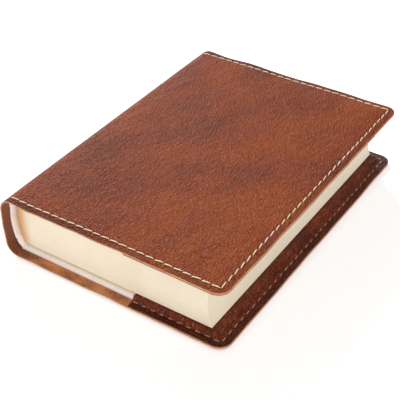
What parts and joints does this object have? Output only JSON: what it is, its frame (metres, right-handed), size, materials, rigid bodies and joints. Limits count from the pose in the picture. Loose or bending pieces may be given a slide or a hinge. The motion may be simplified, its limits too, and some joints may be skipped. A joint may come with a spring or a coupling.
{
  "type": "bible in leather jacket",
  "caption": "Small closed bible with a rounded text block in a pale case, inside a removable brown leather jacket with stitched pocket flaps.",
  "frame": {"origin": "centre of the footprint, on the surface that the closed book lies on", "axes": "+X from the spine to the fore-edge, +Y from the tail to the head, +Z from the back cover to the front cover"},
  "size_m": [0.1224, 0.166, 0.033],
  "materials": {
    "jacket_leather": "pebbled grain, soft sheen, mottled red-brown",
    "flap_leather": "smooth dark brown, creased over the boards",
    "stitch_thread": "waxed cream thread",
    "case_card": "pale matt covered board",
    "endpaper": "plain cream",
    "page_paper": "cream book paper, trimmed edges",
    "lining_mull": "glued mull and paper",
    "linen_tape": "woven linen"
  },
  "bodies": {
    "book_block": {"back_flyleaf": "endpaper", "case_spine": "case_card", "jacket_spine": "jacket_leather", "section_02": "page_paper", "section_03": "page_paper", "section_04": "page_paper", "section_05": "page_paper", "section_06": "page_paper", "section_07": "page_paper", "section_08": "page_paper", "section_09": "page_paper", "section_10": "page_paper", "section_11": "page_paper", "section_12": "page_paper", "section_13": "page_paper", "section_14": "page_paper", "section_15": "page_paper", "section_16": "page_paper", "section_17": "page_paper", "sewing_tapes": "linen_tape", "spine_lining": "lining_mull"},
    "front_cover": {"jacket_front_panel": "jacket_leather", "front_pocket_flap": "flap_leather", "front_stitching": "stitch_thread", "front_board": "case_card", "front_pastedown": "endpaper"},
    "back_cover": {"jacket_back_panel": "jacket_leather", "back_pocket_flap": "flap_leather", "back_stitching": "stitch_thread", "back_board": "case_card", "back_pastedown": "endpaper"},
    "front_flyleaf": {"front_flyleaf": "endpaper"},
    "front_leaf_1": {"front_leaf_1": "page_paper"},
    "front_leaf_2": {"front_leaf_2": "page_paper"},
    "front_leaf_3": {"front_leaf_3": "page_paper"},
    "front_leaf_4": {"front_leaf_4": "page_paper"},
    "front_leaf_5": {"front_leaf_5": "page_paper"},
    "front_leaf_6": {"front_leaf_6": "page_paper"}
  },
  "joints": [
    {"name": "front_cover_hinge", "type": "hinge", "parent": "book_block", "child": "front_cover", "pos_m": [-0.0605, 0, 0.029], "axis": [0, -1, 0], "range_deg": [0, 175]},
    {"name": "back_cover_hinge", "type": "hinge", "parent": "book_block", "child": "back_cover", "pos_m": [-0.0605, 0, 0.005], "axis": [0, 1, 0], "range_deg": [0, 175]},
    {"name": "front_flyleaf_turn", "type": "hinge", "parent": "front_leaf_1", "child": "front_flyleaf", "pos_m": [-0.05501, 0, 0.0284], "axis": [0, -1, 0], "range_deg": [0, 12.5]},
    {"name": "front_leaf_1_turn", "type": "hinge", "parent": "front_leaf_2", "child": "front_leaf_1", "pos_m": [-0.05508, 0, 0.0282], "axis": [0, -1, 0], "range_deg": [0, 20.5]},
    {"name": "front_leaf_2_turn", "type": "hinge", "parent": "front_leaf_3", "child": "front_leaf_2", "pos_m": [-0.05515, 0, 0.028], "axis": [0, -1, 0], "range_deg": [0, 16.5]},
    {"name": "front_leaf_3_turn", "type": "hinge", "parent": "front_leaf_4", "child": "front_leaf_3", "pos_m": [-0.05521, 0, 0.0278], "axis": [0, -1, 0], "range_deg": [0, 24.5]},
    {"name": "front_leaf_4_turn", "type": "hinge", "parent": "front_leaf_5", "child": "front_leaf_4", "pos_m": [-0.05528, 0, 0.0276], "axis": [0, -1, 0], "range_deg": [0, 22.5]},
    {"name": "front_leaf_5_turn", "type": "hinge", "parent": "front_leaf_6", "child": "front_leaf_5", "pos_m": [-0.05534, 0, 0.0274], "axis": [0, -1, 0], "range_deg": [0, 22.5]},
    {"name": "front_leaf_6_turn", "type": "hinge", "parent": "book_block", "child": "front_leaf_6", "pos_m": [-0.0554, 0, 0.0272], "axis": [0, -1, 0], "range_deg": [0, 20.5]}
  ],
  "couplings": [
    {"joint": "front_flyleaf_turn", "follows": "front_cover_hinge", "ratio": 0.068571},
    {"joint": "front_leaf_1_turn", "follows": "front_cover_hinge", "ratio": 0.11429},
    {"joint": "front_leaf_2_turn", "follows": "front_cover_hinge", "ratio": 0.091429},
    {"joint": "front_leaf_3_turn", "follows": "front_cover_hinge", "ratio": 0.13714},
    {"joint": "front_leaf_4_turn", "follows": "front_cover_hinge", "ratio": 0.12571},
    {"joint": "front_leaf_5_turn", "follows": "front_cover_hinge", "ratio": 0.12571},
    {"joint": "front_leaf_6_turn", "follows": "front_cover_hinge", "ratio": 0.11429}
  ]
}
